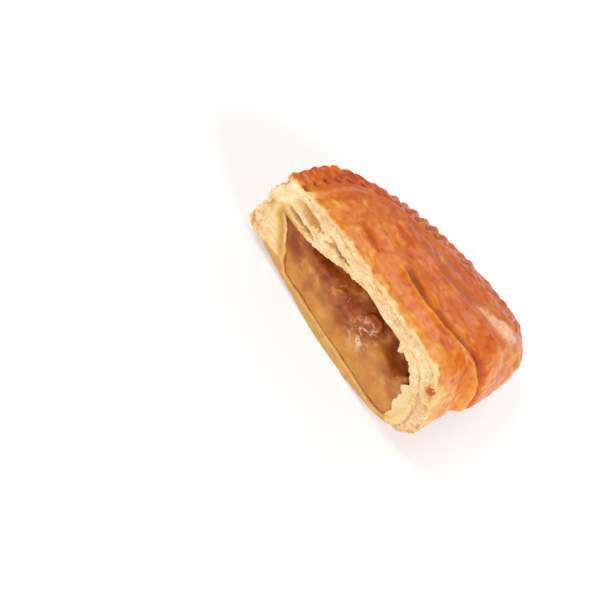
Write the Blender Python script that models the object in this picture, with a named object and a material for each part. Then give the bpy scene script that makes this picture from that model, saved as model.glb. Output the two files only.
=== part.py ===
"""Half of an apple turnover, cut across and lying on its base.

A folded sheet of puff pastry holds a lumpy apple filling. The row frame has its
origin on the table under the middle of the pastry:
    X  along the cut face, from the sealed end (-X) to the folded end (+X)
    Y  from the cut face (-Y) to the crimped back edge (+Y)
    Z  up, from the tray side to the glazed top
Everything is worked out in millimetres on the half as the knife leaves it, with the
cut face at y = 0, and scaled to metres when the meshes are made.
"""

import math

import bmesh
import bpy
import numpy as np
from mathutils import Matrix, Vector, noise

MM = 0.001

# Driving dimensions of the half, in millimetres.
LENGTH = 103.0  # sealed end to folded end
DEPTH = 70.0  # cut face to the furthest point of the crimped edge
HEIGHT = 42.2  # table to the crest of the glazed top

# Plan of the half, seen from above.
SEALED_X = -52.0  # sealed end at the cut
SEALED_DRAW_IN = 11.0  # how far that end draws in at the back corner
FOLD_X = 46.5  # folded end at the cut
FOLD_BULGE = 4.2  # the fold stands this much further out beyond its first crease
FOLD_BULGE_START, FOLD_BULGE_END = 0.18, 0.46
FOLD_CORNER = 3.0  # how far it draws in again at the back corner
BACK_MIDDLE_Y = 61.0  # back edge above x = 0, then its slant and its bow
BACK_SLANT = 0.40
BACK_BOW = 0.0046
SEALED_CORNER = 6.0  # rounding of the corner between the sealed end and the back

# Heights of the outside.
CREST_Z = 41.0
RIM_Z = 26.5  # top of the crimped rim half way along the back
RIM_SLOPE = 3.6  # the rim is this much higher at the sealed end
CREST_POWER = 2.6
PUFF = 1.5  # the top swells between the rows of slits
NOSE_Z = 17.0  # level of the folded end's nose at the cut
NOSE_Z_BACK = 11.5
NOSE_HALF_HEIGHT = 3.6
FOLD_TOP_START = 0.62  # where the top starts to roll over the fold, as s
FOLD_TOP_POWER = 2.4
SHOULDER = 1.2  # the cut edge stands this much prouder just before the fold
FOLD_BASE_START = 0.25
FOLD_BASE_POWER = 1.8
SEALED_TOP_DROP = 6.5
SEALED_BASE_RISE = 5.3
BACK_BASE_RISE = 2.5

# Slits in the top sheet, which open into valleys.
# (v at the sealed side, v at the fold side, first s, last s, depth, half width in v)
SLITS = (
    (0.190, 0.215, -0.46, -0.16, 1.5, 0.045),
    (0.270, 0.310, -0.04, 1.30, 2.4, 0.055),
    (0.470, 0.440, -0.42, -0.10, 1.6, 0.045),
    (0.550, 0.670, 0.02, 0.98, 2.3, 0.055),
)
SLIT_FADE = 0.10
ROW_PERIOD = 0.28  # share of the depth from one row of slits to the next
ROW_CROWDING = 0.028

# Fork marks along the sealed rim: pits a little way in, and a scalloped edge.
CRIMP_PITCH = 5.0
CRIMP_DEPTH = 1.5
CRIMP_INSET = 7.0  # from the edge to the middle of the pits
CRIMP_REACH = 4.4  # half the width of the pitted band
CRIMP_SCALLOP = 0.9

# The risen side under the rim: lobes of dough round a groove, as (w, half width, push).
SIDE_RECESS = -3.0
SIDE_LOBES = ((1.0, 0.12, 3.4), (0.60, 0.34, 3.2), (0.15, 0.18, 2.4))

# The hollow inside the sheet, at the cut.
SEAM_X, SEAM_Z = -43.0, 22.0
TIP_X, TIP_Z = 38.5, 12.5
FLOOR_Z = 5.2
CEILING_Z = 33.5
CEILING_RISE_END = 0.52
CEILING_FALL_START = 0.74
FLOOR_SEALED_SHARE = 0.22
FLOOR_FOLD_SHARE = 0.88
HOLLOW_END_HEIGHT = 1.6
HOLLOW_BACK_WALL = 15.0
CUTTER_OVERRUN = 6.0

# Gaps where the leaves of dough have parted, as (x, z, half length, half depth, half gap, tilt).
LEAF_GAPS = (
    (-36.0, 31.3, 9.4, 3.9, 2.4, 9.0),
    (-36.6, 26.0, 9.6, 4.6, 1.3, 6.0),
    (-19.6, 33.2, 8.0, 4.6, 1.1, 15.0),
)

# Filling.
FILLING_CLEARANCE = 0.35
FILLING_FRONT = 2.6  # how far it stands back from the cut
FILLING_HEAP = 15.0  # depth of filling at the cut
FILLING_RISE_END = 0.36
FILLING_HEADROOM = 1.2
LUMP_SIZE = 9.0
LUMP_HEIGHT = 1.7

# Cells of the sliced blocks, along X, Y and Z.
OUTSIDE_CELLS = (58, 23, 8)
HOLLOW_COLUMNS, HOLLOW_ROWS, HOLLOW_LEVELS = 30, 10, 5
FILLING_COLUMNS, FILLING_LEVELS = (3, 28), 4


def clamp(value, low=0.0, high=1.0):
    return min(max(value, low), high)


def smooth(value):
    value = clamp(value)
    return value * value * (3 - 2 * value)


def bump(distance):
    """1 at 0, falling to 0 at 1 with no corner."""
    return (1 - distance * distance) ** 2 if abs(distance) < 1 else 0.0


def quarter_fall(share, power):
    """A quarter of a superellipse: 1 at share 0, turning down to 0 at share 1."""
    return (1 - clamp(share) ** power) ** (1 / power)


# --- the outside, as functions of s (-1 sealed end, 1 fold), v (0 cut, 1 back), w (0 base, 1 top)


def plan_x(s, v):
    sealed = SEALED_X + SEALED_DRAW_IN * v**3
    swell = smooth((v - FOLD_BULGE_START) / (FOLD_BULGE_END - FOLD_BULGE_START))
    fold = FOLD_X + FOLD_BULGE * swell - FOLD_CORNER * clamp((v - 0.75) / 0.25) ** 2
    return sealed + (s + 1) / 2 * (fold - sealed)


def bowed_y(x):
    return BACK_MIDDLE_Y + BACK_SLANT * x - BACK_BOW * x * x


def back_y(s):
    corner = clamp((-s - 0.88) / 0.12)
    return bowed_y(plan_x(s, 1.0)) - SEALED_CORNER * (1 - math.sqrt(1 - corner * corner))


def back_run(x):
    """Length of the bowed back edge up to x, so that the fork marks keep their pitch."""
    slope = BACK_SLANT - 2 * BACK_BOW * x
    return -(slope * math.sqrt(1 + slope * slope) + math.asinh(slope)) / (4 * BACK_BOW)


def slit_depth(s, v):
    depth = 0.0
    for sealed_v, fold_v, first, last, deepest, half_width in SLITS:
        along = smooth((s - first) / SLIT_FADE) * smooth((last - s) / SLIT_FADE)
        row = sealed_v + (fold_v - sealed_v) * (s - first) / (last - first)
        depth += deepest * along * bump((v - row) / (half_width * (0.5 + 0.5 * along)))
    return depth


def nose_z(v):
    return NOSE_Z + (NOSE_Z_BACK - NOSE_Z) * v


def top_z(s, v):
    rim = RIM_Z - RIM_SLOPE * s
    crest = rim + (CREST_Z - rim) * (1 - v**CREST_POWER)
    crest -= SEALED_TOP_DROP * clamp((-s - 0.35) / 0.65) ** 1.3 * (1 - v * v)
    crest -= PUFF * (0.5 - 0.5 * math.cos(2 * math.pi * clamp(v / 0.86) * 3)) * smooth((s + 0.5) / 0.4)
    crest += SHOULDER * bump((s - 0.66) / 0.3) * bump(v / 0.3)
    fall = clamp((s - FOLD_TOP_START) / (1 - FOLD_TOP_START)) ** FOLD_TOP_POWER
    nose = nose_z(v) + NOSE_HALF_HEIGHT
    return crest + (nose - crest) * fall


def base_z(s, v):
    roll = quarter_fall((s - FOLD_BASE_START) / (1 - FOLD_BASE_START), FOLD_BASE_POWER)
    nose = nose_z(v) - NOSE_HALF_HEIGHT
    sealed = SEALED_BASE_RISE * clamp((-s - 0.1) / 0.9)
    back = BACK_BASE_RISE * clamp((v - 0.7) / 0.3) ** 2
    return nose * (1 - roll) + (sealed + back) * roll


def side_push(w):
    """How far the risen side stands out of the plan at share w of its height."""
    return SIDE_RECESS + sum(push * bump((w - at) / half) for at, half, push in SIDE_LOBES)


def crimp(run):
    """Fork mark at this run along the rim: 1 in a dent, 0 between two."""
    return 0.5 - 0.5 * math.cos(2 * math.pi * run / CRIMP_PITCH)


def rows_at_slits(b):
    """Spreads the rows of points so that they crowd together where the slits run."""
    return b - ROW_CROWDING * math.sin(2 * math.pi * b / ROW_PERIOD) * smooth((1 - b) / 0.2)


def outside(a, b, w):
    """Point of the pastry's outside for a point of the block's surface."""
    s, v = 2 * a - 1, rows_at_slits(b)
    x, y = plan_x(s, v), v * back_y(s)
    low, high = base_z(s, v), top_z(s, v)
    z = low + (high - low) * w
    back_mark, sealed_mark = crimp(back_run(x)), crimp(y)
    from_back = back_y(s) - y
    from_sealed = x - plan_x(-1.0, v)
    fold_calm = smooth((1.0 - s) / 0.12)  # the side closes into the fold without lobes
    cut_calm = 0.35 + 0.65 * smooth(v / 0.08)
    dent_back = back_mark * bump((from_back - CRIMP_INSET) / CRIMP_REACH) * fold_calm
    dent_sealed = sealed_mark * bump((from_sealed - CRIMP_INSET) / CRIMP_REACH) * (v > 0)
    z -= CRIMP_DEPTH * max(dent_back, dent_sealed) * smooth((w - 0.6) / 0.4)
    valley = slit_depth(s, v) * smooth((w - 0.1) / 0.5)
    lean = smooth((s - 0.70) / 0.25)  # the valley bites inwards where the top turns down
    z -= valley * (1 - lean)
    x -= valley * lean
    if v >= 1.0:
        corner_calm = smooth((s + 1) / 0.10)
        y += (side_push(w) - CRIMP_SCALLOP * back_mark * w**4) * fold_calm * corner_calm
    if s <= -1.0:
        corner_calm = smooth((1 - v) / 0.15)
        x -= (side_push(w) - CRIMP_SCALLOP * sealed_mark * w**4) * cut_calm * corner_calm
    if s >= 1.0:
        x += 1.0 * math.sin(math.pi * w)
    return x, y, z


# --- the hollow, as functions of t (0 sealed seam, 1 fold tip), v and w


def hollow_span(t, v):
    """(x, floor, ceiling) of the hollow."""
    x = SEAM_X + t * (TIP_X - SEAM_X) + 0.5 * SEALED_DRAW_IN * v**3 * (1 - t)
    axis = SEAM_Z + t * (TIP_Z - SEAM_Z)
    up = smooth(t / CEILING_RISE_END)
    up *= quarter_fall((t - CEILING_FALL_START) / (1 - CEILING_FALL_START), 1.8)
    down = smooth(t / FLOOR_SEALED_SHARE)
    down *= quarter_fall((t - FLOOR_FOLD_SHARE) / (1 - FLOOR_FOLD_SHARE), 2.0)
    ceiling = axis + (CEILING_Z - axis) * up + HOLLOW_END_HEIGHT / 2
    floor = axis + (FLOOR_Z - axis) * down - HOLLOW_END_HEIGHT / 2
    shrink = quarter_fall(v, 3.0) if v > 0 else 1.0
    middle = floor + 0.45 * (ceiling - floor)
    half = HOLLOW_END_HEIGHT / 2
    floor = min(middle - half, middle - (middle - floor) * shrink)
    ceiling = max(middle + half, middle + (ceiling - middle) * shrink)
    return x, floor, ceiling


def hollow_y(t, v):
    return v * (bowed_y(plan_x(2 * t - 1, 1.0)) - HOLLOW_BACK_WALL)


def hollow_grid(column, row):
    """(t, v) of the hollow's grid, whose steps close up at both ends and at the back."""
    t = (1 - math.cos(math.pi * column / HOLLOW_COLUMNS)) / 2
    return t, math.sin(math.pi / 2 * row / HOLLOW_ROWS)


def hollow(a, b, w):
    """The first row of cells stands in front of the cut, so that the cut opens cleanly."""
    row = round(b * (HOLLOW_ROWS + 1)) - 1
    t, v = hollow_grid(a * HOLLOW_COLUMNS, max(row, 0))
    x, floor, ceiling = hollow_span(t, v)
    overrun = CUTTER_OVERRUN if row < 0 else 0.0
    return x, hollow_y(t, v) - overrun, floor + (ceiling - floor) * w


def filling(a, b, w):
    """The filling lies on the hollow's floor and heaps up towards the back."""
    first, last = FILLING_COLUMNS
    t, v = hollow_grid(first + a * (last - first), b * (HOLLOW_ROWS - 1))
    x, floor, ceiling = hollow_span(t, v)
    low = floor + FILLING_CLEARANCE
    roof = ceiling - FILLING_HEADROOM
    rise = smooth(v / FILLING_RISE_END)
    lump = noise.noise(Vector((x, 60 * v, 3.0)) / LUMP_SIZE)
    heap = low + FILLING_HEAP * smooth(t / 0.16) * smooth((1 - t) / 0.10)
    high = heap + (roof - heap) * rise + LUMP_HEIGHT * lump
    high = clamp(high, low + 0.4, max(roof, low + 0.4))
    y = hollow_y(t, v) + (FILLING_FRONT + 0.8 * lump) * (1 - v) ** 3
    return x, y, low + (high - low) * w


# --- building


def clear_scene():
    for thing in list(bpy.data.objects):
        bpy.data.objects.remove(thing)


def sliced_block(cells):
    """A unit cube, sliced into cells along each axis."""
    block = bmesh.new()
    bmesh.ops.create_cube(block, size=1.0, matrix=Matrix.Translation((0.5, 0.5, 0.5)))
    for axis, count in enumerate(cells):
        normal = Vector((0.0, 0.0, 0.0))
        normal[axis] = 1.0
        for step in range(1, count):
            everything = block.verts[:] + block.edges[:] + block.faces[:]
            bmesh.ops.bisect_plane(
                block, geom=everything, plane_co=normal * (step / count), plane_no=normal
            )
    return block


def shaped_object(name, block, shape):
    """Moves each of the block's points (0 to 1 on every axis) to where shape puts it."""
    for vert in block.verts:
        vert.co = Vector(shape(*vert.co)) * MM
    bmesh.ops.recalc_face_normals(block, faces=block.faces[:])
    mesh = bpy.data.meshes.new(name)
    block.to_mesh(mesh)
    block.free()
    thing = bpy.data.objects.new(name, mesh)
    bpy.context.scene.collection.objects.link(thing)
    return thing


def make_cutter(thing):
    thing.hide_render = True
    thing.display_type = "WIRE"
    return thing


def cut_away(body, cutter):
    cut = body.modifiers.new(cutter.name, "BOOLEAN")
    cut.operation = "DIFFERENCE"
    cut.object = cutter


def outside_block():
    block = sliced_block(OUTSIDE_CELLS)
    cut_face = [f for f in block.faces if all(v.co.y < 1e-6 for v in f.verts)]
    bmesh.ops.dissolve_faces(block, faces=cut_face)
    return block


def leaf_gap(number, x, z, half_length, half_depth, half_gap, tilt):
    gap = bmesh.new()
    bmesh.ops.create_uvsphere(gap, u_segments=14, v_segments=7, radius=1.0)
    bmesh.ops.scale(gap, vec=(half_length, half_depth, half_gap), verts=gap.verts)
    turn = Matrix.Rotation(math.radians(-tilt), 3, "Y")
    bmesh.ops.rotate(gap, matrix=turn, verts=gap.verts)
    bmesh.ops.translate(gap, vec=(x, 0.0, z), verts=gap.verts)
    return make_cutter(shaped_object(f"leaf_gap_{number}", gap, lambda *point: point))


def material(name, colour, roughness):
    finish = bpy.data.materials.new(name)
    finish.use_nodes = True
    shader = finish.node_tree.nodes["Principled BSDF"]
    shader.inputs["Base Color"].default_value = (*colour, 1.0)
    shader.inputs["Roughness"].default_value = roughness
    shader.inputs["Metallic"].default_value = 0.0
    return finish


def set_in_frame(things):
    """Scales the half to its driving dimensions and puts the origin under its middle."""
    crust = things[0]
    points = np.array([v.co for v in crust.data.vertices])
    low, high = points.min(axis=0), points.max(axis=0)
    size = Vector((LENGTH, DEPTH, HEIGHT)) * MM
    scale = Matrix.Diagonal([size[i] / (high[i] - low[i]) for i in range(3)]).to_4x4()
    middle = Vector(((low[0] + high[0]) / 2, (low[1] + high[1]) / 2, low[2]))
    for thing in things:
        thing.data.transform(scale @ Matrix.Translation(-middle))


def main():
    clear_scene()
    crust = shaped_object("pastry_crust", outside_block(), outside)
    hollow_cells = (HOLLOW_COLUMNS, HOLLOW_ROWS + 1, HOLLOW_LEVELS)
    room = make_cutter(shaped_object("hollow", sliced_block(hollow_cells), hollow))
    gaps = [leaf_gap(number, *sizes) for number, sizes in enumerate(LEAF_GAPS, 1)]
    filling_cells = (FILLING_COLUMNS[1] - FILLING_COLUMNS[0], HOLLOW_ROWS - 1, FILLING_LEVELS)
    apple = shaped_object("apple_filling", sliced_block(filling_cells), filling)
    set_in_frame([crust, room, *gaps, apple])
    for cutter in [room, *gaps]:
        cut_away(crust, cutter)
    crust.data.materials.append(material("baked_pastry", (0.72, 0.36, 0.10), 0.42))
    apple.data.materials.append(material("apple_compote", (0.50, 0.22, 0.06), 0.22))


main()
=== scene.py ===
# %% [markdown]
# # Half an apple turnover
# A turnover is a sheet of puff pastry folded over cooked apple, sealed with a fork and baked.
# This one was cut across, so its cut face shows the flaky crust and the filling.
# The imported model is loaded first. Its two solids have the right size and place,
# and everything made here is fitted to them.

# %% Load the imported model
import math

import bpy
import numpy as np
from mathutils import Matrix, Vector, noise
from mathutils.bvhtree import BVHTree
from mathutils.kdtree import KDTree


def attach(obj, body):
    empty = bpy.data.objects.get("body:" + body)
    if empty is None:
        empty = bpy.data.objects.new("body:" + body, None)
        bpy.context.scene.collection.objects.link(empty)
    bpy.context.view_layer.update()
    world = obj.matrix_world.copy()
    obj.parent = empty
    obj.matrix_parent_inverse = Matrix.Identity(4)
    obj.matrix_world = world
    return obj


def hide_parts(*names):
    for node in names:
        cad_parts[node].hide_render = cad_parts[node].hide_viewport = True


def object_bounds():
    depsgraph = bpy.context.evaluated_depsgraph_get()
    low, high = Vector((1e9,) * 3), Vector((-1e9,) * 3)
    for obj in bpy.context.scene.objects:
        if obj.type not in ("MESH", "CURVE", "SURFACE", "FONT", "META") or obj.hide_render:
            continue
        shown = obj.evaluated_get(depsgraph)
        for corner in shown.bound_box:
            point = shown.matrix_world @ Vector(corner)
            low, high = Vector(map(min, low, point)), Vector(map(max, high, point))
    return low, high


MM = 0.001
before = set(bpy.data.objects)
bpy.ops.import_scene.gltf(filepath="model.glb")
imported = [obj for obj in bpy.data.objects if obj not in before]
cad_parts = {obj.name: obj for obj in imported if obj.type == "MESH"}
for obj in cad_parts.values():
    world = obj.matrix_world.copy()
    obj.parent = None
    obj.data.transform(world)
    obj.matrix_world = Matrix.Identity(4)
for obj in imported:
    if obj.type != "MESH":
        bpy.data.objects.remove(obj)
cad_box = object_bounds()
LOW = np.array(cad_box[0]) / MM
HIGH = np.array(cad_box[1]) / MM
CUT_Y = LOW[1]  # the plane that the knife left, in millimetres
print("crust and filling, mm:", np.round(HIGH - LOW, 1))

# %% [markdown]
# ## The studio
# A pale floor, a white room and soft lamps. The camera looks down at the cut face and
# is tilted on its side, because the half is seen leaning. Its three axes come from
# an azimuth, an elevation and a roll.

# %% Camera
AZIMUTH, ELEVATION, ROLL = map(math.radians, (5.0, 45.0, 52.8))
DISTANCE = 0.520
LENS, SENSOR = 85.0, 36.0
AIM = Vector((0.0003, -0.009, 0.012))
ASIDE = math.atan(0.1333 * SENSOR / LENS)  # the half sits right of the middle of the frame

toward_camera = Vector(
    (
        math.sin(AZIMUTH) * math.cos(ELEVATION),
        -math.cos(AZIMUTH) * math.cos(ELEVATION),
        math.sin(ELEVATION),
    )
)
level = Vector((math.cos(AZIMUTH), math.sin(AZIMUTH), 0.0))
upright = toward_camera.cross(level)
view_right = math.cos(ROLL) * level + math.sin(ROLL) * upright
view_up = -math.sin(ROLL) * level + math.cos(ROLL) * upright
back_axis = math.cos(ASIDE) * toward_camera + math.sin(ASIDE) * view_right
right_axis = math.cos(ASIDE) * view_right - math.sin(ASIDE) * toward_camera

bpy.ops.object.camera_add()
camera = bpy.context.object
camera.name = "table_camera"
camera.data.lens, camera.data.sensor_width = LENS, SENSOR
camera.data.clip_start = 0.02
turn = Matrix((right_axis, view_up, back_axis)).transposed()
camera.matrix_world = Matrix.Translation(AIM + toward_camera * DISTANCE) @ turn.to_4x4()
bpy.context.scene.camera = camera
bpy.context.scene.view_settings.view_transform = "Standard"
print("camera at", tuple(round(c, 3) for c in camera.matrix_world.translation))


# %% [markdown]
# A lamp is placed by how far it stands to the right of, above and in front of the pastry as the
# camera sees it, so the light can be thought about in the picture.

# %% Lamps and floor
def soft_lamp(name, right, up, front, size, power, colour=(1.0, 1.0, 1.0)):
    place = AIM + view_right * right + view_up * up + toward_camera * front
    bpy.ops.object.light_add(type="AREA", location=place)
    lamp = bpy.context.object
    lamp.name = name
    lamp.data.size, lamp.data.energy, lamp.data.color = size, power, colour
    lamp.rotation_mode = "QUATERNION"
    lamp.rotation_quaternion = (place - AIM).to_track_quat("Z", "Y")


soft_lamp("key_lamp", -0.10, 0.62, 0.60, 0.30, 2.7)
soft_lamp("front_lamp", -0.55, -0.10, 0.60, 0.50, 1.7)
soft_lamp("fold_lamp", 0.50, -0.45, 0.50, 0.40, 4.0)
soft_lamp("back_lamp", 0.50, 0.42, 0.04, 0.30, 1.1)

bpy.ops.mesh.primitive_plane_add(size=6.0)
floor = bpy.context.object
floor.name = "pale_floor"
floor_paint = bpy.data.materials.new("pale_floor")
floor_paint.use_nodes = True
floor_shader = floor_paint.node_tree.nodes["Principled BSDF"]
floor_shader.inputs["Base Color"].default_value = (0.50, 0.50, 0.50, 1.0)
floor_shader.inputs["Roughness"].default_value = 0.9
floor_shader.inputs["Specular IOR Level"].default_value = 0.1
floor_shader.inputs["Emission Color"].default_value = (1.0, 1.0, 1.0, 1.0)
floor_shader.inputs["Emission Strength"].default_value = 0.47
floor.data.materials.append(floor_paint)

room = bpy.data.worlds.new("white_room")
room.use_nodes = True
room.node_tree.nodes["Background"].inputs["Color"].default_value = (1.0, 1.0, 1.0, 1.0)
room.node_tree.nodes["Background"].inputs["Strength"].default_value = 0.46
bpy.context.scene.world = room


# %% [markdown]
# ## Tools used below
# Everything is deselected before an operator runs, because an operator acts on all that is
# selected. Points are handled as arrays in millimetres.

# %% Selecting and applying
def only(thing):
    bpy.ops.object.select_all(action="DESELECT")
    thing.select_set(True)
    bpy.context.view_layer.objects.active = thing


def apply_modifier(thing, kind, **settings):
    only(thing)
    modifier = thing.modifiers.new(kind.lower(), kind)
    for key, value in settings.items():
        setattr(modifier, key, value)
    bpy.ops.object.modifier_apply(modifier=modifier.name)


def merged_copy(node, name):
    """A copy of a solid with its loose triangles merged into one skin."""
    only(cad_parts[node])
    bpy.ops.object.duplicate()
    copy = bpy.context.object
    copy.name = name
    copy.parent = None
    for key in list(copy.keys()):
        del copy[key]
    bpy.ops.object.mode_set(mode="EDIT")
    bpy.ops.mesh.select_all(action="SELECT")
    bpy.ops.mesh.remove_doubles(threshold=0.00001)
    bpy.ops.object.mode_set(mode="OBJECT")
    copy.data.materials.clear()
    return copy


# %% Reading and moving points
def points_of(thing):
    flat = np.empty(len(thing.data.vertices) * 3)
    thing.data.vertices.foreach_get("co", flat)
    return flat.reshape(-1, 3) / MM


def normals_of(thing):
    flat = np.empty(len(thing.data.vertices) * 3)
    thing.data.vertices.foreach_get("normal", flat)
    return flat.reshape(-1, 3)


def put_points(thing, points):
    thing.data.vertices.foreach_set("co", (points * MM).ravel())
    thing.data.update()


def raise_skin(thing, height):
    """Moves every point along its normal by its height, in millimetres."""
    put_points(thing, points_of(thing) + normals_of(thing) * height[:, None])


def blurred(thing, values, rounds):
    """Spreads a value over the neighbouring points."""
    ends = np.empty(len(thing.data.edges) * 2, dtype=np.int64)
    thing.data.edges.foreach_get("vertices", ends)
    one, other = ends[::2], ends[1::2]
    count = np.bincount(ends, minlength=len(values))
    for _ in range(rounds):
        total = np.bincount(one, values[other], len(values))
        total += np.bincount(other, values[one], len(values))
        values = 0.4 * values + 0.6 * total / np.maximum(count, 1)
    return values


def grain(points, size, seed=0.0):
    """Soft noise from -1 to 1. size is that of its lumps, in mm, along each axis."""
    scaled = points / np.asarray(size, dtype=float) + seed
    return np.array([noise.noise(p) for p in scaled.tolist()])


def ramp(values, low, high):
    """0 below low, 1 above high, smooth between."""
    share = np.clip((values - low) / (high - low), 0.0, 1.0)
    return share * share * (3 - 2 * share)


def hill(distance):
    """1 at 0, falling smoothly to 0 at 1."""
    return np.clip(1 - distance * distance, 0.0, 1.0) ** 2


def band(values, low, high, soft):
    """1 between low and high, fading over soft at both ends."""
    return ramp(values, low - soft, low) * ramp(-values, -high - soft, -high)


def distance_to(points, chosen):
    tree = KDTree(int(chosen.sum()))
    for number, point in enumerate(points[chosen].tolist()):
        tree.insert(point, number)
    tree.balance()
    return np.array([tree.find(p)[2] for p in points.tolist()])


def smooth_where(thing, share, rounds):
    """Rubs the skin smooth where share is 1 and leaves it where share is 0."""
    group = thing.vertex_groups.new(name="rubbed")
    steps = np.round(share * 10).astype(int)
    for step in range(1, 11):
        group.add(np.flatnonzero(steps == step).tolist(), step / 10, "REPLACE")
    apply_modifier(thing, "SMOOTH", factor=0.5, iterations=rounds, vertex_group="rubbed")
    thing.vertex_groups.clear()


# %% [markdown]
# ## The crust
# The folded dough is one skin: glazed outside, crumbly at the cut, moist inside. It is
# copied from the solid and remeshed finely enough to carry blisters and leaves.

# %% Make the crust's fine skin
CRUST_VOXEL = 0.00061
crust = merged_copy("pastry_crust", "turnover_crust")
apply_modifier(crust, "REMESH", mode="VOXEL", voxel_size=CRUST_VOXEL, adaptivity=0.0)
apply_modifier(crust, "SMOOTH", factor=0.5, iterations=4)
print("crust points:", len(crust.data.vertices))


# %% [markdown]
# Each point is then told what it is. A point on the knife's plane is cut crumb. A point that
# sees open air above, below, beside or behind it is outer skin, and the rest line the hollow
# and the gaps. Rays towards the knife are not sent, because the hollow is open that way.

# %% Sort the crust's points
def sees_air(thing, points, normals):
    tree = BVHTree.FromObject(thing, bpy.context.evaluated_depsgraph_get())
    starts = points + normals * 0.3
    starts[:, 1] = np.maximum(starts[:, 1], CUT_Y + 0.6)
    seen = np.zeros(len(points), dtype=bool)
    for way in ((0, 0, 1), (0, 0, -1), (1, 0, 0), (-1, 0, 0), (0, 1, 0)):
        hidden = np.flatnonzero(~seen)
        rays = (starts[hidden] * MM).tolist()
        seen[hidden] = [tree.ray_cast(start, way)[0] is None for start in rays]
    return seen


place, facing = points_of(crust), normals_of(crust)
at_cut = (place[:, 1] < CUT_Y + 1.1) & (facing[:, 1] < -0.45)
outer = sees_air(crust, place, facing) & ~at_cut
inner = ~outer & ~at_cut
crumb = blurred(crust, at_cut.astype(float), 2)
skin = blurred(crust, outer.astype(float), 2)
lining = blurred(crust, inner.astype(float), 2)
from_skin = distance_to(place, outer)
from_hollow = distance_to(place, inner)
from_lip = distance_to(place, (crumb > 0.25) & (lining > 0.25))
print("points at the cut, outside, inside:", at_cut.sum(), outer.sum(), inner.sum())

# %% [markdown]
# The solid has flat facets and small pits, so the outer skin is rubbed smooth first. Its own
# marks are then raised on it as heights along the normal.

# %% Rub the outer skin smooth
calm = skin * ramp(place[:, 1] - CUT_Y, 0.6, 2.6) * ramp(place[:, 2], 2.0, 8.0)
smooth_where(crust, calm * ramp(facing[:, 2], -0.2, 0.3), 40)
smooth_where(crust, calm, 8)
place, facing = points_of(crust), normals_of(crust)
print("smoothed share of the crust:", round(float(calm.mean()), 2))

# %% [markdown]
# The sealed rim was pressed with a fork. Each tine pushed out a scallop and left a pit behind
# it. The back edge is a slanting bow, so the distance in from it and the run along it are
# worked out first. The run is bent a little by noise, because no hand keeps an even pitch.

# %% Fork marks on the rim
BACK_Y, BACK_SLANT, BACK_BOW = 26.0, 0.40, 0.0046  # the bowed back edge over x = 0
MARK_PITCH, PIT_INSET = 5.0, 8.6
LOBE_HEIGHT, PIT_DEPTH, WELT_HEIGHT = 1.5, 1.15, 0.4


def along_back_edge(points):
    """(inset, run) of points: how far in from the bowed edge, and how far along it."""
    foot = points[:, 0].copy()
    for _ in range(4):
        slope = BACK_SLANT - 2 * BACK_BOW * foot
        length = np.sqrt(1 + slope * slope)
        edge_y = BACK_Y + BACK_SLANT * foot - BACK_BOW * foot * foot
        inset = ((points[:, 0] - foot) * slope + edge_y - points[:, 1]) / length
        foot = points[:, 0] - inset * slope / length
    run = -(slope * length + np.arcsinh(slope)) / (4 * BACK_BOW)
    return inset, run


def fork_marks(inset, run, pit_inset):
    """(height, pit): a scallop along the edge for each tine, and a pit at its inner end."""
    off = (run / MARK_PITCH) % 1.0 - 0.5  # 0 in the middle of a tine's mark
    lobe = 0.45 - (2 * off) ** 2
    pit = hill(np.hypot(off * MARK_PITCH / 1.6, (inset - pit_inset) / 2.0))
    welt = hill((inset - pit_inset - 3.4) / 2.4)
    height = LOBE_HEIGHT * lobe * band(inset, -2.0, pit_inset - 2.0, 2.0)
    return height - PIT_DEPTH * pit + WELT_HEIGHT * welt, pit


upward = ramp(facing[:, 2], -0.1, 0.25)
back_inset, back_run = along_back_edge(place)
depth_share = np.clip((place[:, 1] - CUT_Y) / 30.0, 0.0, 1.2)
sealed_inset = place[:, 0] - (LOW[0] + 1.0 + 10.0 * depth_share**3)
uneven = 0.9 * grain(place, 11.0, 51.0)
back_marks, back_pits = fork_marks(back_inset, back_run + uneven, PIT_INSET + uneven)
seal_marks, seal_pits = fork_marks(sealed_inset, place[:, 1] + 35.0 + uneven, 6.5)
on_back = ramp(sealed_inset - back_inset, -2.0, 1.0) * ramp(-place[:, 0], -44.0, -38.0)
on_seal = 1 - ramp(sealed_inset - back_inset, -2.0, 1.0)
away_from_cut = ramp(place[:, 1] - CUT_Y, 0.4, 2.0)
on_skin = skin * upward
pressed = np.clip(ramp(-place[:, 0], -2.0, 12.0) + 0.35 + 0.5 * grain(place, 9.0, 61.0), 0.25, 1.0)
rim_height = on_back * pressed * back_marks + on_seal * away_from_cut * seal_marks
pits = on_skin * (on_back * pressed**2 * back_pits + on_seal * away_from_cut * seal_pits)
print("fork marks, mm:", round(float(rim_height.min()), 2), round(float(rim_height.max()), 2))

# %% [markdown]
# Slits were cut in the top sheet to let steam out. Each opened into a valley: the strip nearer the
# knife rose and curls over it, and the valley's floor is dough that the egg wash never reached.
# A slit is a shallow bow seen from above, so three numbers give its line.

# %% Slits and creases in the top
SLITS = (
    # (first x, last x, y at x = 0, slant, bow, lip, depth, half width)
    (-3.0, 60.0, -17.2, -0.13, 0.0080, 1.0, 2.3, 2.2),
    (1.0, 44.0, -0.3, 0.34, 0.0028, 0.6, 1.6, 3.2),
    (-25.0, -11.0, -24.0, 0.00, 0.0, 0.60, 1.2, 1.1),
    (-19.0, -8.0, -5.2, 0.18, 0.0, 0.50, 1.2, 1.2),
)


def beside_slit(points, slit):
    """How far each point is behind the slit's line, and 1 between the slit's two ends."""
    first, last, start_y, slant, bow = slit[:5]
    x = np.minimum(points[:, 0], 44.0)
    slope = slant + 2 * bow * x
    behind = (points[:, 1] - start_y - slant * x - bow * x * x) / np.sqrt(1 + slope * slope)
    return behind, band(points[:, 0], first + 2.5, last - 2.5, 3.0)


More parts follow.
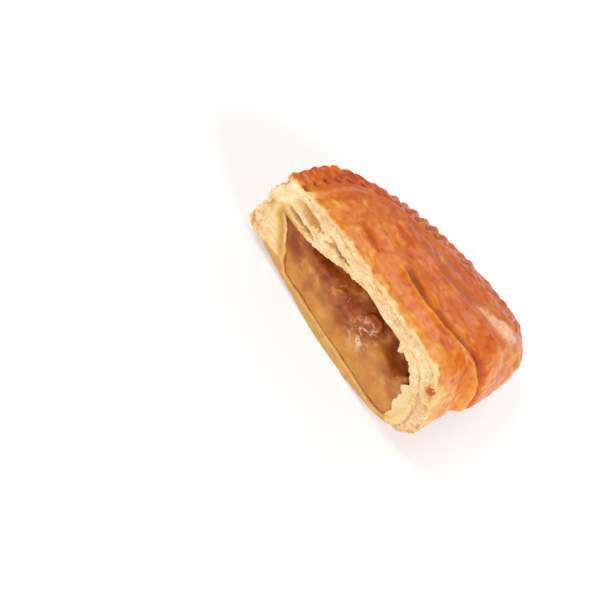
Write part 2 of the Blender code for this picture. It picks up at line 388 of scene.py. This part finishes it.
waver = 0.8 * grain(place, 7.0, 31.0) + 0.35 * grain(place, 2.5, 17.0)
slit_height = np.zeros(len(place))
valley = np.zeros(len(place))
lit_lip = np.zeros(len(place))
for slit in SLITS:
    behind, between = beside_slit(place, slit)
    between = between * ramp(place[:, 2], 9.0, 15.0)
    behind = behind + waver
    lip, depth, half_width = slit[5:]
    edge = hill((behind + 1.7) / 2.6) * between
    floor_of_slit = hill((behind - 0.8) / half_width) * between
    slit_height += lip * edge - depth * floor_of_slit
    valley = np.maximum(valley, floor_of_slit * min(1.0, depth - 0.8))
    lit_lip = np.maximum(lit_lip, edge * lip)

fold_behind, _ = beside_slit(place, SLITS[0])
at_fold = ramp(place[:, 0], 31.0, 40.0)
at_fold *= ramp(place[:, 2], 9.0, 15.0)
fold_shade = at_fold * hill((fold_behind - 1.7) / 2.6)
slit_height += at_fold * 0.9 * hill((fold_behind + 1.5) / 2.6) - 2.0 * fold_shade
tongue = hill(np.linalg.norm((place - np.array((50.0, -10.0, 13.0))) * (1.0, 1.0, 0.6), axis=1) / 8.0)
wide_behind, wide_between = beside_slit(place, SLITS[1])
wedge = 2.4 + 4.2 * ramp(place[:, 0], 20.0, 33.0)
bare_dough = 1.5 * hill((wide_behind - 0.6 + 1.4 * waver) / wedge) * band(place[:, 0], 24.0, 39.0, 6.0)
bare_dough *= ramp(place[:, 2], 3.0, 9.0)
print("slits, mm:", round(float(slit_height.min()), 2), round(float(slit_height.max()), 2))

# %% [markdown]
# The glazed skin is soft and swollen, with blisters of two sizes and fine wrinkles. The sides
# below the crimped rim are bare leaves that opened in the oven.

# %% Raise the outer skin
knob = hill(np.linalg.norm(place - np.array((48.0, 25.0, 20.0)), axis=1) / 5.0)
side = ramp(-np.abs(facing[:, 2]), -0.75, -0.35) * ramp(-place[:, 0], -44.0, -38.0)
side *= ramp(back_inset * -1.0, -3.0, 0.0) + ramp(-sealed_inset, -2.0, 0.5)
side = np.clip(side, 0.0, 1.0) * skin
glazed = skin * np.clip(upward + ramp(place[:, 0], 38.0, 44.0), 0.0, 1.0) * (1 - 0.7 * side)
blisters = 0.42 * grain(place, 6.5, 1.3) + 0.26 * grain(place, 2.9, 4.1)
blisters += 0.5 * np.clip(grain(place, 4.2, 21.0) - 0.25, 0.0, 1.0)
wrinkles = 0.07 * grain(place, (3.5, 1.2, 2.0), 9.0)
leaf_edges = 0.55 * grain(place, (12.0, 12.0, 0.9), 7.7) + 0.25 * grain(place, (4.0, 4.0, 0.6), 2.9)
height = on_skin * rim_height + glazed * slit_height + 1.0 * knob * skin - 1.8 * tongue * skin
height += glazed * (1 - valley) * (blisters + wrinkles) + side * leaf_edges
torn_end = ramp(-place[:, 0], 38.0, 45.0) * ramp(CUT_Y - place[:, 1], -7.0, -2.5) * (1 - on_skin)
height += skin * torn_end * (1.8 * grain(place, 3.6, 12.0) - 1.6 * hill((place[:, 2] - 19.0) / 3.2))
raise_skin(crust, height)
print("glazed share of the skin:", round(float(glazed.mean()), 2))

# %% [markdown]
# The cut crumb is not the same all over. Under the glaze it is dry and full of pores. Nearer the
# hollow its leaves are long and smooth, and the bottom sheet is soaked with syrup.

# %% Open the crumb at the cut
across, rise = place[:, 0], place[:, 2]
strip = ramp(-rise, -8.0, -5.5) * band(across, -38.0, 40.0, 7.0)
column = hill(from_hollow / 6.5) * ramp(-across, 25.0, 33.0) * ramp(-rise, -27.0, -23.0)
fold_inside = hill(from_hollow / 4.2) * ramp(across, 30.0, 36.0) * ramp(-rise, -25.0, -19.0)
soaked = crumb * np.clip(strip + 0.9 * column + 0.45 * fold_inside, 0.0, 1.0)
dry = crumb * (1 - soaked)
porous = dry * ramp(-from_skin, -4.6, -2.2)
sealed_end = ramp(-across, 40.0, 46.0)

around = np.arctan2(rise - 18.0, across / 2.2) * 34.0
leaf_place = np.column_stack([around, place[:, 1], from_skin])
leaves = grain(leaf_place, (9.0, 3.0, 0.9), 3.1)
fine_leaves = grain(leaf_place, (3.2, 1.6, 0.5), 8.4)
pores = np.clip(grain(place, (1.9, 1.6, 1.3), 5.7) - 0.10, 0.0, 1.0)
leaf_ridges = 0.5 - np.abs(grain(leaf_place, (13.0, 4.0, 1.3), 23.0)) * 2
crumbs = grain(place, 1.15, 14.0)
lumps = grain(place, 4.6, 11.0)
GAPS = ((-36.0, 31.3, 9.4, 2.4, 9.0), (-36.6, 26.0, 9.6, 1.3, 6.0), (-19.6, 33.2, 8.0, 1.1, 15.0))
near_gap = np.zeros(len(place))
in_gap = np.zeros(len(place))
for gap_x, gap_z, half_length, half_gap, tilt in GAPS:
    lean_x, lean_z = math.cos(math.radians(tilt)), -math.sin(math.radians(tilt))
    length_way = (across - gap_x) * lean_x + (rise - gap_z) * lean_z
    gap_way = (rise - gap_z) * lean_x - (across - gap_x) * lean_z
    reach = np.hypot(length_way / (half_length + 2.5), gap_way / (half_gap + 2.0))
    near_gap = np.maximum(near_gap, hill(reach * 0.8))
    in_gap = np.maximum(in_gap, hill(np.hypot(length_way / half_length, gap_way / (half_gap + 0.4)) * 0.9))
near_gap *= ramp(CUT_Y - place[:, 1], -7.0, -4.0)
in_gap *= near_gap
fold_leaf = crumb * ramp(across, 24.0, 32.0) * ramp(-from_hollow, -3.6, -2.6)
fold_groove = crumb * ramp(across, 24.0, 32.0) * hill((from_hollow - 3.4) / 0.9)
crumb_height = dry * (0.40 * leaves + 0.20 * fine_leaves + 0.3 * leaf_ridges + 0.5 * lumps)
crumb_height += porous * (0.50 * crumbs - 1.2 * pores)
crumb_height += dry * sealed_end * (1.5 * lumps + 0.9 * grain(place, 2.2, 3.3))
crumb_height -= 1.4 * crumb * sealed_end * hill((rise - 19.0) / 3.0) * ramp(-across, 44.0, 49.0)
crumb_height += soaked * (0.25 * leaves + 0.18 * lumps)
crumb_height *= (1 - 0.75 * near_gap) * (1 - 0.7 * fold_leaf)
crumb_height += 0.3 * fold_leaf - 0.9 * fold_groove
raise_skin(crust, crumb_height)
put_points(crust, points_of(crust) + np.outer(2.6 * in_gap, (0.0, 1.0, 0.0)))
print("crumb relief, mm:", round(float(crumb_height.min()), 2), round(float(crumb_height.max()), 2))

# %% [markdown]
# The top sheet ends over the hollow in a thin torn lip. The ceiling is hollowed out just behind
# the cut to thin it, and its edge is then pulled up and down unevenly.

# %% Tear the lip
place, facing = points_of(crust), normals_of(crust)
top_lip = ramp(place[:, 2], 12.0, 20.0) * ramp(place[:, 0], -44.0, -38.0)
behind_lip = band(place[:, 1] - CUT_Y, 2.0, 5.0, 1.6) * ramp(-facing[:, 2], 0.2, 0.6)
raise_skin(crust, -0.8 * lining * behind_lip * top_lip)
ragged = grain(place, (1.5, 4.0, 4.0), 2.2) + 0.8 * grain(place, (0.75, 2.0, 2.0), 6.0)
lip_shift = 1.35 * hill(from_lip / 1.9) * top_lip * (ragged - 0.15)
put_points(crust, points_of(crust) + np.outer(lip_shift, (0.15, -0.25, 0.95)))
raise_skin(crust, lining * 0.25 * grain(place, (5.0, 5.0, 1.6), 6.6))
print("lip moved, mm:", round(float(lip_shift.min()), 2), round(float(lip_shift.max()), 2))

# %% Keep the table side flat
place = points_of(crust)
place[:, 2] = np.maximum(place[:, 2], 0.0)
put_points(crust, place)
only(crust)
bpy.ops.object.shade_smooth()


# %% [markdown]
# ## The crust's finish
# Values painted on the points steer one material: how much a point is crumb, how brown it baked
# with painted shade and highlights laid on that, how moist it is, where dough was left bare of egg
# wash, and where the fork scorched it.

# %% Paint values on the crust's points
def paint(thing, name, values):
    layer = thing.data.attributes.new(name, "FLOAT", "POINT")
    layer.data.foreach_set("value", np.clip(values, 0.0, 1.0).astype(np.float32))


facing = normals_of(crust)
fringe = place[:, 1] - CUT_Y + 2.6 * grain(place, 3.6, 5.0) + 1.4 * grain(place, 1.3, 15.0)
edge_fade = ramp(fringe, 0.2, 2.4)
near_rim = band(back_inset, 0.0, PIT_INSET + 2.0, 3.0) * on_back + on_seal * hill((sealed_inset - 3.0) / 7.0)
bake_and_shade = 0.52 + 0.13 * grain(place, 9.0, 2.0) + 0.10 * grain(place, 3.2, 7.0)
# browner by the rim and near the back edge; lighter on the slits' raised lips, a painted highlight
bake_and_shade += 0.07 * near_rim + 0.06 * ramp(back_inset * -1.0, -40.0, -12.0) - 0.10 * lit_lip
# random darker spots, and painted shade in the fold's groove
bake_and_shade += 0.10 * ramp(grain(place, 3.0, 41.0), 0.28, 0.45) + 0.30 * fold_shade
bake_and_shade += 0.07 * hill((place[:, 1] - 2.0) / 16.0)
# painted highlights on the blisters' crests and painted shade in their dips
bake_and_shade += 0.12 * ramp(-blisters, 0.10, 0.45) - 0.20 * ramp(blisters, 0.10, 0.45)
bake_and_shade += 0.11 * ramp(grain(place, 2.2, 71.0), 0.30, 0.45)
# lighter towards the cut, and painted light on the fold's face
bake_and_shade -= 0.17 * ramp(CUT_Y - place[:, 1], -14.0, -2.0) + 0.16 * ramp(place[:, 0], 35.0, 43.0)
bake_and_shade = glazed * bake_and_shade * (0.15 + 0.85 * edge_fade)
bake_and_shade += (1 - glazed) * skin * (0.20 + 0.12 * grain(place, (14.0, 14.0, 1.2), 4.0))
underside = skin * ramp(-facing[:, 2], 0.5, 0.9) * ramp(-place[:, 2], -12.0, -6.0)
bake_and_shade += (0.16 + 0.24 * grain(place, 7.0, 33.0)) * underside
cut_scorch = hill(np.linalg.norm(place - np.array((38.0, -34.5, 33.6)), axis=1) / 3.8)
scorch = 0.9 * pits + 0.08 * near_rim * glazed + 0.6 * knob * skin + 0.2 * cut_scorch
bare = glazed * np.clip(0.85 * valley * (1 - 0.6 * at_fold) + bare_dough, 0.0, 1.0)
bare += 0.45 * underside  # the tray's side was never brushed with egg
pale = 0.5 + 0.5 * sealed_end * ramp(place[:, 2], 18.0, 26.0) + 0.4 * hill(from_lip / 1.4)
# darker near the skin and toward the fold; inside the gaps, painted shade
pale += -0.25 * ramp(-from_skin, -2.4, -0.8) * (1 - sealed_end) - 0.9 * in_gap - 0.25 * crumb * ramp(place[:, 0], 30.0, 38.0)
# bare dough paler; the slits' valleys darker, a painted shade under their lips
pale += skin * (0.5 * bare_dough - 0.35 * valley) + 0.1 * underside
streak_x = place[:, 0] + 49.5 - 0.5 * (9.0 - place[:, 2])
baked_streak = crumb * hill(streak_x / 1.5) * band(place[:, 2], 1.0, 9.0, 2.0)
paint(crust, "pale", pale)
paint(crust, "crumb", (crumb + lining) * (1 - np.minimum(1.0, 1.4 * cut_scorch)) * (1 - 0.85 * baked_streak))
dry_lip = top_lip * ramp(CUT_Y - place[:, 1], -4.5, -1.5)
near_base = ramp(-place[:, 2], -12.0, -7.0)
wet_lining = (0.5 + 0.45 * near_base) * blurred(crust, lining, 4) * (1 - soaked) * (1 - dry_lip)
paint(crust, "moist", soaked * (1 - 0.2 * near_base) + wet_lining)
paint(crust, "bare", bare)
paint(crust, "bake_and_shade", bake_and_shade + 0.6 * baked_streak + 0.7 * cut_scorch * crumb)
paint(crust, "scorch", scorch)
print("painted:", [a.name for a in crust.data.attributes])


# %% [markdown]
# A finish is a small network: noise and painted values pick a colour from a ramp, and the
# same noise gives bump and gloss. Three helpers keep each network short.

# %% Helpers for finishes
def linear(red, green, blue):
    """A colour as seen on a screen, 0 to 255, as the shader wants it."""
    shares = [c / 255 for c in (red, green, blue)]
    return (*[((c + 0.055) / 1.055) ** 2.4 if c > 0.04 else c / 12.92 for c in shares], 1.0)


class Finish:
    """Builds one material's network."""

    def __init__(self, name):
        self.material = bpy.data.materials.new(name)
        self.material.use_nodes = True
        self.tree = self.material.node_tree
        self.shader = self.tree.nodes["Principled BSDF"]
        self.here = self.add("ShaderNodeTexCoord").outputs["Object"]

    def add(self, kind, **settings):
        made = self.tree.nodes.new(kind)
        for key, value in settings.items():
            setattr(made, key, value)
        return made

    def link(self, source, target):
        self.tree.links.new(source, target)

    def painted(self, name):
        return self.add("ShaderNodeAttribute", attribute_name=name).outputs["Fac"]

    def noise(self, size_mm, detail=3.0, stretch=(1.0, 1.0, 1.0), roughness=0.55):
        scale = self.add("ShaderNodeMapping")
        scale.inputs["Scale"].default_value = [1 / (size_mm * MM * s) for s in stretch]
        texture = self.add("ShaderNodeTexNoise")
        texture.inputs["Scale"].default_value = 1.0
        texture.inputs["Detail"].default_value = detail
        texture.inputs["Roughness"].default_value = roughness
        self.link(self.here, scale.inputs["Vector"])
        self.link(scale.outputs["Vector"], texture.inputs["Vector"])
        return texture.outputs["Fac"]

    def sum(self, *terms):
        """Adds up (source, weight) pairs; a bare number is an offset."""
        total = None
        for term in terms:
            step = self.add("ShaderNodeMath", operation="MULTIPLY_ADD")
            if isinstance(term, tuple):
                self.link(term[0], step.inputs[0])
                step.inputs[1].default_value = term[1]
            else:
                step.inputs[0].default_value, step.inputs[1].default_value = term, 1.0
            if total is None:
                step.inputs[2].default_value = 0.0
            else:
                self.link(total, step.inputs[2])
            total = step.outputs[0]
        return total

    def times(self, one, other):
        step = self.add("ShaderNodeMath", operation="MULTIPLY")
        self.link(one, step.inputs[0])
        self.link(other, step.inputs[1])
        return step.outputs[0]

    def colours(self, source, stops):
        """A colour ramp: stops are (position, colour)."""
        made = self.add("ShaderNodeValToRGB")
        ramp_stops = made.color_ramp.elements
        while len(ramp_stops) < len(stops):
            ramp_stops.new(0.5)
        for stop, (position, colour) in zip(ramp_stops, stops):
            stop.position, stop.color = position, colour
        self.link(source, made.inputs["Fac"])
        return made.outputs["Color"]

    def mix(self, share, one, other):
        made = self.add("ShaderNodeMix", data_type="RGBA")
        self.link(share, made.inputs[0])
        self.link(one, made.inputs[6])
        self.link(other, made.inputs[7])
        return made.outputs[2]

    def bump(self, height, depth_mm):
        made = self.add("ShaderNodeBump")
        made.inputs["Strength"].default_value = 1.0
        made.inputs["Distance"].default_value = depth_mm * MM
        self.link(height, made.inputs["Height"])
        self.link(made.outputs["Normal"], self.shader.inputs["Normal"])


# %% [markdown]
# Egg wash bakes from straw yellow through orange to red-brown, so browning is one number on a ramp,
# and painted shade and highlights on the glaze move the same number. Crumb, soaked dough and bare
# dough have ramps of their own and are mixed over it.

# %% Baked pastry
pastry = Finish("baked_pastry")
mottle = pastry.noise(2.4, 4.0)
specks = pastry.noise(0.7, 3.0)
streaks = pastry.noise(1.0, 3.0, (9.0, 9.0, 0.7))
browning_and_shade = pastry.sum((pastry.painted("bake_and_shade"), 1.0), (mottle, 0.22), (specks, 0.08), -0.15)
glaze_colour = pastry.colours(
    browning_and_shade,
    (
        (0.06, linear(240, 206, 146)),
        (0.22, linear(232, 168, 80)),
        (0.40, linear(217, 126, 34)),
        (0.58, linear(200, 96, 16)),
        (0.78, linear(184, 74, 14)),
        (1.0, linear(148, 46, 12)),
    ),
)
scorch_colour = pastry.colours(
    specks, ((0.35, linear(132, 44, 22)), (0.65, linear(176, 70, 36)))
)
bare_colour = pastry.colours(
    pastry.sum((mottle, 0.5), (specks, 0.25), (pastry.painted("pale"), 0.5), -0.12),
    (
        (0.30, linear(160, 100, 74)),
        (0.45, linear(190, 126, 92)),
        (0.62, linear(222, 170, 130)),
        (0.78, linear(238, 200, 162)),
    ),
)
crumb_colour = pastry.colours(
    pastry.sum((streaks, 0.30), (mottle, 0.35), (specks, 0.35), (pastry.painted("pale"), 0.2), -0.1),
    (
        (0.34, linear(220, 164, 110)),
        (0.45, linear(235, 192, 138)),
        (0.57, linear(250, 222, 172)),
    ),
)
moist_colour = pastry.colours(
    pastry.sum((pastry.painted("moist"), 1.0), (mottle, 0.3), (streaks, 0.25), -0.28),
    (
        (0.25, linear(244, 214, 150)),
        (0.55, linear(230, 188, 116)),
        (0.80, linear(206, 152, 84)),
        (1.0, linear(172, 114, 58)),
    ),
)
glazed_colour = pastry.mix(pastry.painted("scorch"), glaze_colour, scorch_colour)
outside_colour = pastry.mix(pastry.painted("bare"), glazed_colour, bare_colour)
moist_share = pastry.colours(
    pastry.painted("moist"), ((0.10, (0.0, 0.0, 0.0, 1.0)), (0.50, (1.0, 1.0, 1.0, 1.0)))
)
cut_colour = pastry.mix(moist_share, crumb_colour, moist_colour)
pastry.link(
    pastry.mix(pastry.painted("crumb"), outside_colour, cut_colour),
    pastry.shader.inputs["Base Color"],
)
pastry.link(
    pastry.sum(
        (pastry.painted("crumb"), 0.40),
        (pastry.painted("bare"), 0.25),
        (pastry.painted("moist"), -0.30),
        (specks, 0.16),
        0.26,
    ),
    pastry.shader.inputs["Roughness"],
)
pastry.bump(pastry.sum((mottle, 0.7), (specks, 0.22), (streaks, 0.12)), 0.25)
pastry.link(pastry.sum((pastry.painted("crumb"), -0.15), (pastry.painted("bare"), -0.12), 0.15), pastry.shader.inputs["Coat Weight"])
pastry.shader.inputs["Coat Roughness"].default_value = 0.2
pastry.shader.inputs["Specular IOR Level"].default_value = 0.2
pastry.shader.inputs["Subsurface Weight"].default_value = 0.12
pastry.shader.inputs["Subsurface Radius"].default_value = (0.0030, 0.0016, 0.0008)
pastry.shader.inputs["Subsurface Scale"].default_value = 1.0
crust.data.materials.append(pastry.material)
print("nodes in the pastry's finish:", len(pastry.tree.nodes))

# %% [markdown]
# ## The filling
# Cooked apple keeps the shape of its chunks under a thick clear syrup. The chunks are made
# one by one as rounded cubes, sunk into the filling's body, and fused by one remesh, as
# syrup does.

# %% Make the filling's body
compote = merged_copy("apple_filling", "apple_compote")
body_tree = BVHTree.FromObject(compote, bpy.context.evaluated_depsgraph_get())
CHUNKS = 22
CHUNK_SIZE = (9.5, 8.0, 7.0)


def chunk_spot(number):
    """A spot on the filling's open side: even steps along x, golden steps up its slope."""
    x = -30.0 + 66.0 * (number + 0.5) / CHUNKS
    lift = (number * 0.618) % 1.0
    start = Vector((x, -60.0 + 30.0 * lift, 8.0 + 60.0 * lift)) * MM
    way = Vector((0.0, 0.85, -0.25 - 0.55 * lift)).normalized()
    return body_tree.ray_cast(start, way)


# %% Sink the chunks and fuse them
chunks = []
for number in range(CHUNKS):
    spot, spot_normal, _, _ = chunk_spot(number)
    if spot is None:
        continue
    bpy.ops.object.select_all(action="DESELECT")
    bpy.ops.mesh.primitive_cube_add(size=1.0)
    chunk = bpy.context.object
    size = Vector(CHUNK_SIZE) * MM * (0.8 + 0.5 * noise.noise(spot * 300.0))
    spin = Vector([3.0 * noise.noise(spot * 200.0 + Vector((k, k, k)) * 9.0) for k in range(3)])
    inward = spot - spot_normal * size.z * 0.06
    chunk.scale, chunk.rotation_euler, chunk.location = size, spin, inward
    bpy.ops.object.transform_apply(location=True, rotation=True, scale=True)
    apply_modifier(chunk, "SUBSURF", levels=2, render_levels=2)
    chunks.append(chunk)
only(compote)
for chunk in chunks:
    chunk.select_set(True)
bpy.ops.object.join()
COMPOTE_VOXEL = 0.0006
apply_modifier(compote, "REMESH", mode="VOXEL", voxel_size=COMPOTE_VOXEL, adaptivity=0.0)
apply_modifier(compote, "SMOOTH", factor=0.5, iterations=7)
print("chunks:", len(chunks), "filling points:", len(compote.data.vertices))

# %% [markdown]
# Syrup wets the crust, so the filling swells until it meets the dough all round. Points
# that would go into the crust are laid a hair's breadth in front of it.

# %% Press the filling against the crust
place = points_of(compote)
near_cut = ramp(CUT_Y - place[:, 1], -8.0, -4.0)
SQUASH = 1.8  # the front is flattened softly over this depth, so its lumps stay
swell = 0.6 + 0.2 * near_cut + 0.9 * grain(place, (8.0, 6.0, 5.0), 3.0) + 0.25 * grain(place, 2.6, 9.0)
raise_skin(compote, swell)
place = points_of(compote)
lean = ramp(-place[:, 2], -17.0, -6.0) + ramp(-place[:, 0], 28.0, 36.0)
place[:, 1] -= 1.4 * np.clip(lean, 0.0, 1.0) * near_cut
lumpy = grain(place * (1.0, 0.0, 1.0), (8.0, 1.0, 6.0), 5.0) + 0.4 * grain(place * (1.0, 0.0, 1.0), (3.2, 1.0, 2.6), 8.0)
front = CUT_Y + 0.15 + 2.2 * np.clip(0.35 + lumpy, 0.0, 1.0) * ramp(place[:, 2], 2.5, 13.0)
behind_front = place[:, 1] - front
squashed = SQUASH * np.exp(np.minimum(behind_front, SQUASH) / SQUASH - 1)
place[:, 1] = front + np.where(behind_front < SQUASH, squashed, behind_front)
crust_tree = BVHTree.FromObject(crust, bpy.context.evaluated_depsgraph_get())
CONTACT = 0.06
touch = np.zeros(len(place))
for number, point in enumerate(place.tolist()):
    near, near_normal, _, far = crust_tree.find_nearest(Vector(point) * MM)
    apart = (Vector(point) * MM - near).dot(near_normal)
    if apart < CONTACT * MM and far < 4 * MM:
        place[number] = np.array(near + near_normal * CONTACT * MM) / MM
        apart = far = 0.0
    touch[number] = far / MM
put_points(compote, place)
only(compote)
bpy.ops.object.shade_smooth()
shade_line_lift = 6.0 * ramp(place[:, 0], -2.0, 20.0)  # the painted shade starts higher toward the fold
# painted shade: the filling is darker higher up, under the lip, and lighter low down
shade_by_height = ramp(place[:, 2] - shade_line_lift + 7.0 * grain(place, 7.0, 7.0), 6.0, 19.0)
by_dough = hill(touch / 6.0) * ramp(-place[:, 2], -15.0, -9.0)
paint(compote, "touch", np.maximum(by_dough, 0.85 * (1 - shade_by_height)))
# painted glints: a patch of pale specks where the syrup sparkles
from_glints = np.linalg.norm((place - np.array((8.0, -33.0, 18.5))) * (1.0, 0.4, 0.8), axis=1)
paint(compote, "shreds_and_glints", hill(from_glints / 8.0))
print("filling points against the crust:", int((touch == 0).sum()))

# %% [markdown]
# The syrup is clear and the apple in it is pale, so light goes in and comes out amber. A
# little subsurface scattering does that, and a glossy coat gives the wet sparkle. On one patch
# pale specks are painted glints.

# %% Syrupy apple
syrup = Finish("apple_compote")
cloud = syrup.noise(6.5, 2.0)
shreds_and_glints = syrup.noise(1.7, 3.0, (1.7, 1.0, 1.1))
syrup_colour = syrup.colours(
    syrup.sum((cloud, 0.75), (shreds_and_glints, 0.25)),
    (
        (0.36, linear(132, 56, 12)),
        (0.47, linear(150, 70, 16)),
        (0.56, linear(168, 90, 28)),
        (0.68, linear(208, 140, 74)),
    ),
)
# paler colour where syrup soaked the dough, and low on the filling as painted light; the darker syrup colour
# above is painted shade
soaked_and_lit = syrup.colours(cloud, ((0.3, linear(198, 124, 46)), (0.7, linear(218, 156, 78))))
# the painted glints: pale specks over that patch
painted_glints = syrup.times(
    syrup.painted("shreds_and_glints"), syrup.colours(shreds_and_glints, ((0.50, (0.0,) * 4), (0.62, (1.0,) * 4)))
)
glint_colour = syrup.add("ShaderNodeRGB")
glint_colour.outputs[0].default_value = linear(238, 204, 172)
syrup.link(
    syrup.mix(
        painted_glints,
        syrup.mix(syrup.painted("touch"), syrup_colour, soaked_and_lit),
        glint_colour.outputs[0],
    ),
    syrup.shader.inputs["Base Color"],
)
syrup.shader.inputs["Roughness"].default_value = 0.30
syrup.shader.inputs["Specular IOR Level"].default_value = 0.2
syrup.shader.inputs["Coat Weight"].default_value = 0.25
syrup.shader.inputs["Coat Roughness"].default_value = 0.10
syrup.shader.inputs["Subsurface Weight"].default_value = 0.30
syrup.shader.inputs["Subsurface Radius"].default_value = (0.005, 0.0022, 0.001)
syrup.shader.inputs["Subsurface Scale"].default_value = 1.0
syrup.bump(syrup.sum((shreds_and_glints, 0.5), (cloud, 0.5)), 0.4)
compote.data.materials.append(syrup.material)

# %% [markdown]
# ## Crumbs and loose leaves
# A knife leaves crumbs on flaky pastry. One crumb is modelled and copied over the cut, each
# copy turned and scaled. Thin leaves of dough hang loose by the fold and under the lip: each is
# a grid bent into place and given its thickness.


# %% Scatter crumbs over the cut
bpy.ops.object.select_all(action="DESELECT")
bpy.ops.mesh.primitive_ico_sphere_add(subdivisions=1, radius=0.5)
crumb_shape = bpy.context.object
corners = np.array([v.co for v in crumb_shape.data.vertices])
corners *= (1 + 0.5 * grain(corners, 0.6, 2.0))[:, None]
triangles = np.array([f.vertices for f in crumb_shape.data.polygons])
bpy.data.objects.remove(crumb_shape)

CRUMBS = 300
place, facing = points_of(crust), normals_of(crust)
draw = np.random.default_rng(7)
by_edge = (skin > 0.5) & (place[:, 1] < CUT_Y + 1.6) & (place[:, 2] > 20.0)
spots = draw.choice(np.flatnonzero((porous > 0.5) | by_edge), CRUMBS)
all_corners, all_triangles = [], []
for number, spot in enumerate(spots):
    turn = np.array(Matrix.Rotation(draw.uniform(0, 6.28), 3, Vector(draw.normal(size=3))))
    size = draw.uniform(0.35, 1.0, 3) * draw.uniform(0.7, 1.15)
    middle = place[spot] + facing[spot] * draw.uniform(-0.15, 0.10)
    all_corners.append((corners * size) @ turn.T + middle)
    all_triangles.append(triangles + number * len(corners))
crumb_mesh = bpy.data.meshes.new("cut_crumbs")
crumb_mesh.from_pydata(np.vstack(all_corners) * MM, [], np.vstack(all_triangles).tolist())
cut_crumbs = bpy.data.objects.new("cut_crumbs", crumb_mesh)
bpy.context.scene.collection.objects.link(cut_crumbs)
paint(cut_crumbs, "crumb", np.ones(len(crumb_mesh.vertices)))
paint(cut_crumbs, "pale", np.full(len(crumb_mesh.vertices), 0.6))
crumb_mesh.materials.append(pastry.material)
only(cut_crumbs)
bpy.ops.object.shade_smooth()
print("crumbs:", CRUMBS)

# %% Bend a grid into a leaf of dough
def leaf_of_dough(number, spine, reach, front, columns=48):
    """A thin sheet. spine gives (x, z) along its root and reach how far it stands out of it."""
    bpy.ops.object.select_all(action="DESELECT")
    bpy.ops.mesh.primitive_grid_add(x_subdivisions=columns, y_subdivisions=12, size=1.0)
    leaf = bpy.context.object
    grid = points_of(leaf) * MM + 0.5  # both ways from 0 to 1
    share, out = grid[:, 0], grid[:, 1]
    taper = np.sin(math.pi * np.clip(share, 0.02, 0.98)) ** 0.45
    code = np.column_stack([share * 14.0, out * 3, share * 0 + 7.0 * number])
    torn = 1 + 0.30 * grain(code * (1.0, 0.0, 1.0), 5.0)
    stand = out * taper * torn
    root = np.array([spine(t) for t in share])
    root_x, root_z = root.T
    wave = 0.5 * grain(code, 2.2) * out
    x = root_x + reach[0] * stand + wave
    z = root_z + reach[2] * stand + wave
    put_points(leaf, np.column_stack([x, CUT_Y + front + reach[1] * stand + 0.8 * wave, z]))
    apply_modifier(leaf, "SOLIDIFY", thickness=0.0004, offset=0.0)
    apply_modifier(leaf, "SUBSURF", levels=1, render_levels=1)
    return leaf


ROOTED = 0.7  # mm of each leaf's root that stays inside the dough


def to_dough(start, way):
    """Where rays from start first meet the crust just behind the cut, and ROOTED further on.

    Three rays are cast, because a single one may slip into a pore.
    """
    reaches = []
    for behind in (0.8, 1.4, 2.0):
        origin = Vector((start[0], CUT_Y + behind, start[1])) * MM
        _, _, _, far = crust_tree.ray_cast(origin, Vector((way[0], 0.0, way[1])))
        reaches.append(far / MM)
    return np.array(start) + (min(reaches) + ROOTED) * np.array(way)


def round_fold(first, last):
    """A spine along the hollow's end by the fold, between two angles in degrees."""
    def spine(t):
        angle = math.radians(first + (last - first) * t)
        return to_dough((27.0, 14.0), (math.cos(angle), math.sin(angle)))
    return spine


def under_lip(first_x, last_x):
    """A spine along the torn lip above the hollow."""
    return lambda t: to_dough((first_x + (last_x - first_x) * t, 22.0), (0.0, 1.0))


# %% Hang loose leaves by the fold and under the lip
leaf_parts = [
    leaf_of_dough(number, *shape)
    for number, shape in enumerate(
        (
            (round_fold(58.0, -14.0), (-6.3, 1.1, -0.4), 0.7),
            (round_fold(20.0, -36.0), (-4.0, 0.8, 0.8), 1.0),
            (under_lip(18.4, 21.8), (0.3, 0.4, -3.8), 0.8),
        )
    )
]
only(leaf_parts[0])
for leaf in leaf_parts:
    leaf.select_set(True)
bpy.ops.object.join()
loose_leaves = bpy.context.object
loose_leaves.name = "loose_leaves"
paint(loose_leaves, "crumb", np.ones(len(loose_leaves.data.vertices)))
paint(loose_leaves, "pale", np.full(len(loose_leaves.data.vertices), 0.9))
paint(loose_leaves, "moist", np.full(len(loose_leaves.data.vertices), 0.3))
loose_leaves.data.materials.append(pastry.material)
bpy.ops.object.shade_smooth()
apart = []
for leaf_corner in points_of(loose_leaves):
    near, near_normal, _, far = crust_tree.find_nearest(Vector(leaf_corner) * MM)
    inside = (Vector(leaf_corner) * MM - near).dot(near_normal) < 0
    apart.append(-far / MM if inside else far / MM)
print("loose leaves:", len(leaf_parts), "deepest in the dough, mm:", round(min(apart), 2))

# %% [markdown]
# ## Hand the pieces over
# Every piece rides on the one body and stands in for its solid; its finish was given when it was made.

# %% Ride and replace
for piece, node, slot in (
    (crust, "pastry_crust", "baked_pastry"),
    (cut_crumbs, "pastry_crust", "baked_pastry"),
    (loose_leaves, "pastry_crust", "baked_pastry"),
    (compote, "apple_filling", "apple_compote"),
):
    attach(piece, "root")
    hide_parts(node)
    piece.data.calc_loop_triangles()
    print(piece.name, "triangles:", len(piece.data.loop_triangles))
